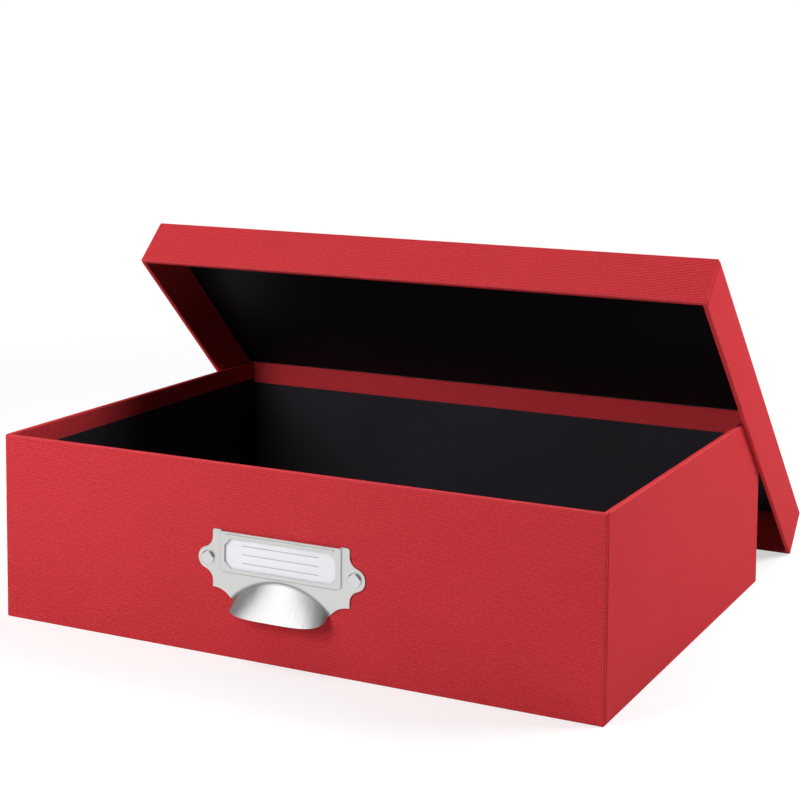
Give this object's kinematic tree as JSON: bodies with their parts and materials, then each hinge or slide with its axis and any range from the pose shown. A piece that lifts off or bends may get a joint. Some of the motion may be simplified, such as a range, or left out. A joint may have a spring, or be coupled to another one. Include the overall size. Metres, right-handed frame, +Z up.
{
  "type": "storage box with lid",
  "caption": "Paper-covered rigid storage box with a separate telescoping lid leaning on its back and a metal label holder with a cup pull on the front.",
  "frame": {"origin": "centre of the underside of the box, on the surface it stands on", "axes": "+X to the right of the front, +Y towards the back, +Z up"},
  "size_m": [0.3428, 0.3308, 0.1941],
  "materials": {
    "greyboard": "raw greyboard",
    "cover_paper": "fine ribbed red cover paper",
    "liner_card": "smooth matt black card",
    "holder_metal": "satin, pale silver",
    "rivet_metal": "polished",
    "label_paper": "smooth white card with plain ruled lines"
  },
  "bodies": {
    "box": {"box_base_board": "greyboard", "box_front_board": "greyboard", "box_back_board": "greyboard", "box_left_board": "greyboard", "box_right_board": "greyboard", "box_main_wrap": "cover_paper", "box_left_wrap": "cover_paper", "box_right_wrap": "cover_paper", "box_floor_liner": "liner_card", "box_front_liner": "liner_card", "box_back_liner": "liner_card", "box_left_liner": "liner_card", "box_right_liner": "liner_card", "label_holder": "holder_metal", "holder_rivets": "rivet_metal", "rivet_washers": "rivet_metal"},
    "lid": {"lid_top_board": "greyboard", "lid_front_board": "greyboard", "lid_back_board": "greyboard", "lid_left_board": "greyboard", "lid_right_board": "greyboard", "lid_main_wrap": "cover_paper", "lid_left_wrap": "cover_paper", "lid_right_wrap": "cover_paper", "lid_liner": "liner_card"},
    "card": {"label_card": "label_paper"}
  },
  "joints": [
    {"name": "lid_lift", "type": "slide", "parent": "box", "child": "lid", "axis": [0, 0, 1], "range_m": [0, 0.12]},
    {"name": "card_slide", "type": "slide", "parent": "box", "child": "card", "axis": [0, 0, 1], "range_m": [0, 0.021]}
  ]
}
